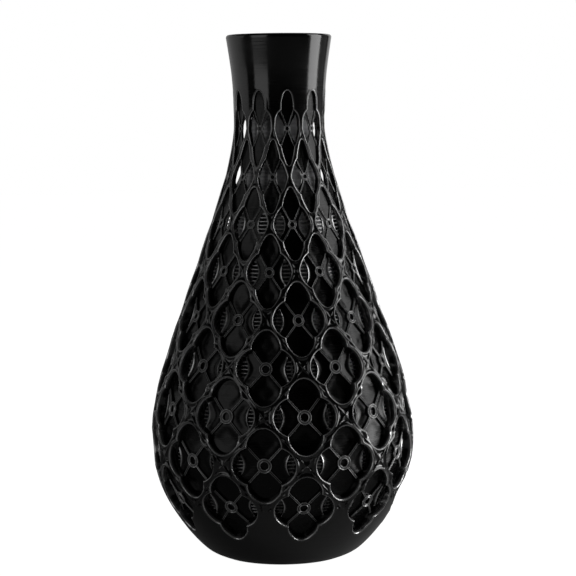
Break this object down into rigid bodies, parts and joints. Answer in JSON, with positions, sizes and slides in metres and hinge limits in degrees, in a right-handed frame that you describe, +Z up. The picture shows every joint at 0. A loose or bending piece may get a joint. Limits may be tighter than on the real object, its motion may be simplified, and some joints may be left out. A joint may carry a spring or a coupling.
{
  "type": "black clay pot",
  "caption": "Double-walled bottle-shaped clay pot: the outer wall is pierced all over with four-petalled openings with a rosette behind each, under a plain flared neck.",
  "frame": {"origin": "centre of the foot, on the surface the pot stands on", "axes": "+Z up along the pot's axis, -Y towards the middle of a flower of the lowest row"},
  "size_m": [0.1808, 0.1826, 0.36],
  "materials": {
    "black_clay": "burnished black clay with a high gloss",
    "inner_clay": "smoothed black clay, less polished"
  },
  "bodies": {
    "root": {"floor_disc": "inner_clay", "base_bowl": "black_clay", "inner_pot_lower": "inner_clay", "pierced_wall_lower": "black_clay", "inner_pot_middle": "inner_clay", "pierced_wall_middle": "black_clay", "inner_pot_upper": "inner_clay", "pierced_wall_upper": "black_clay", "rosette_row1_1": "black_clay", "rosette_row1_2": "black_clay", "rosette_row1_3": "black_clay", "rosette_row1_4": "black_clay", "rosette_row1_5": "black_clay", "rosette_row1_6": "black_clay", "rosette_row1_7": "black_clay", "rosette_row1_8": "black_clay", "rosette_row1_9": "black_clay", "rosette_row1_10": "black_clay", "rosette_row2_1": "black_clay", "rosette_row2_2": "black_clay", "rosette_row2_3": "black_clay", "rosette_row2_4": "black_clay", "rosette_row2_5": "black_clay", "rosette_row2_6": "black_clay", "rosette_row2_7": "black_clay", "rosette_row2_8": "black_clay", "rosette_row2_9": "black_clay", "rosette_row2_10": "black_clay", "rosette_row3_1": "black_clay", "rosette_row3_2": "black_clay", "rosette_row3_3": "black_clay", "rosette_row3_4": "black_clay", "rosette_row3_5": "black_clay", "rosette_row3_6": "black_clay", "rosette_row3_7": "black_clay", "rosette_row3_8": "black_clay", "rosette_row3_9": "black_clay", "rosette_row3_10": "black_clay", "rosette_row4_1": "black_clay", "rosette_row4_2": "black_clay", "rosette_row4_3": "black_clay", "rosette_row4_4": "black_clay", "rosette_row4_5": "black_clay", "rosette_row4_6": "black_clay", "rosette_row4_7": "black_clay", "rosette_row4_8": "black_clay", "rosette_row4_9": "black_clay", "rosette_row4_10": "black_clay", "rosette_row5_1": "black_clay", "rosette_row5_2": "black_clay", "rosette_row5_3": "black_clay", "rosette_row5_4": "black_clay", "rosette_row5_5": "black_clay", "rosette_row5_6": "black_clay", "rosette_row5_7": "black_clay", "rosette_row5_8": "black_clay", "rosette_row5_9": "black_clay", "rosette_row5_10": "black_clay", "neck_collar": "black_clay"}
  },
  "joints": []
}
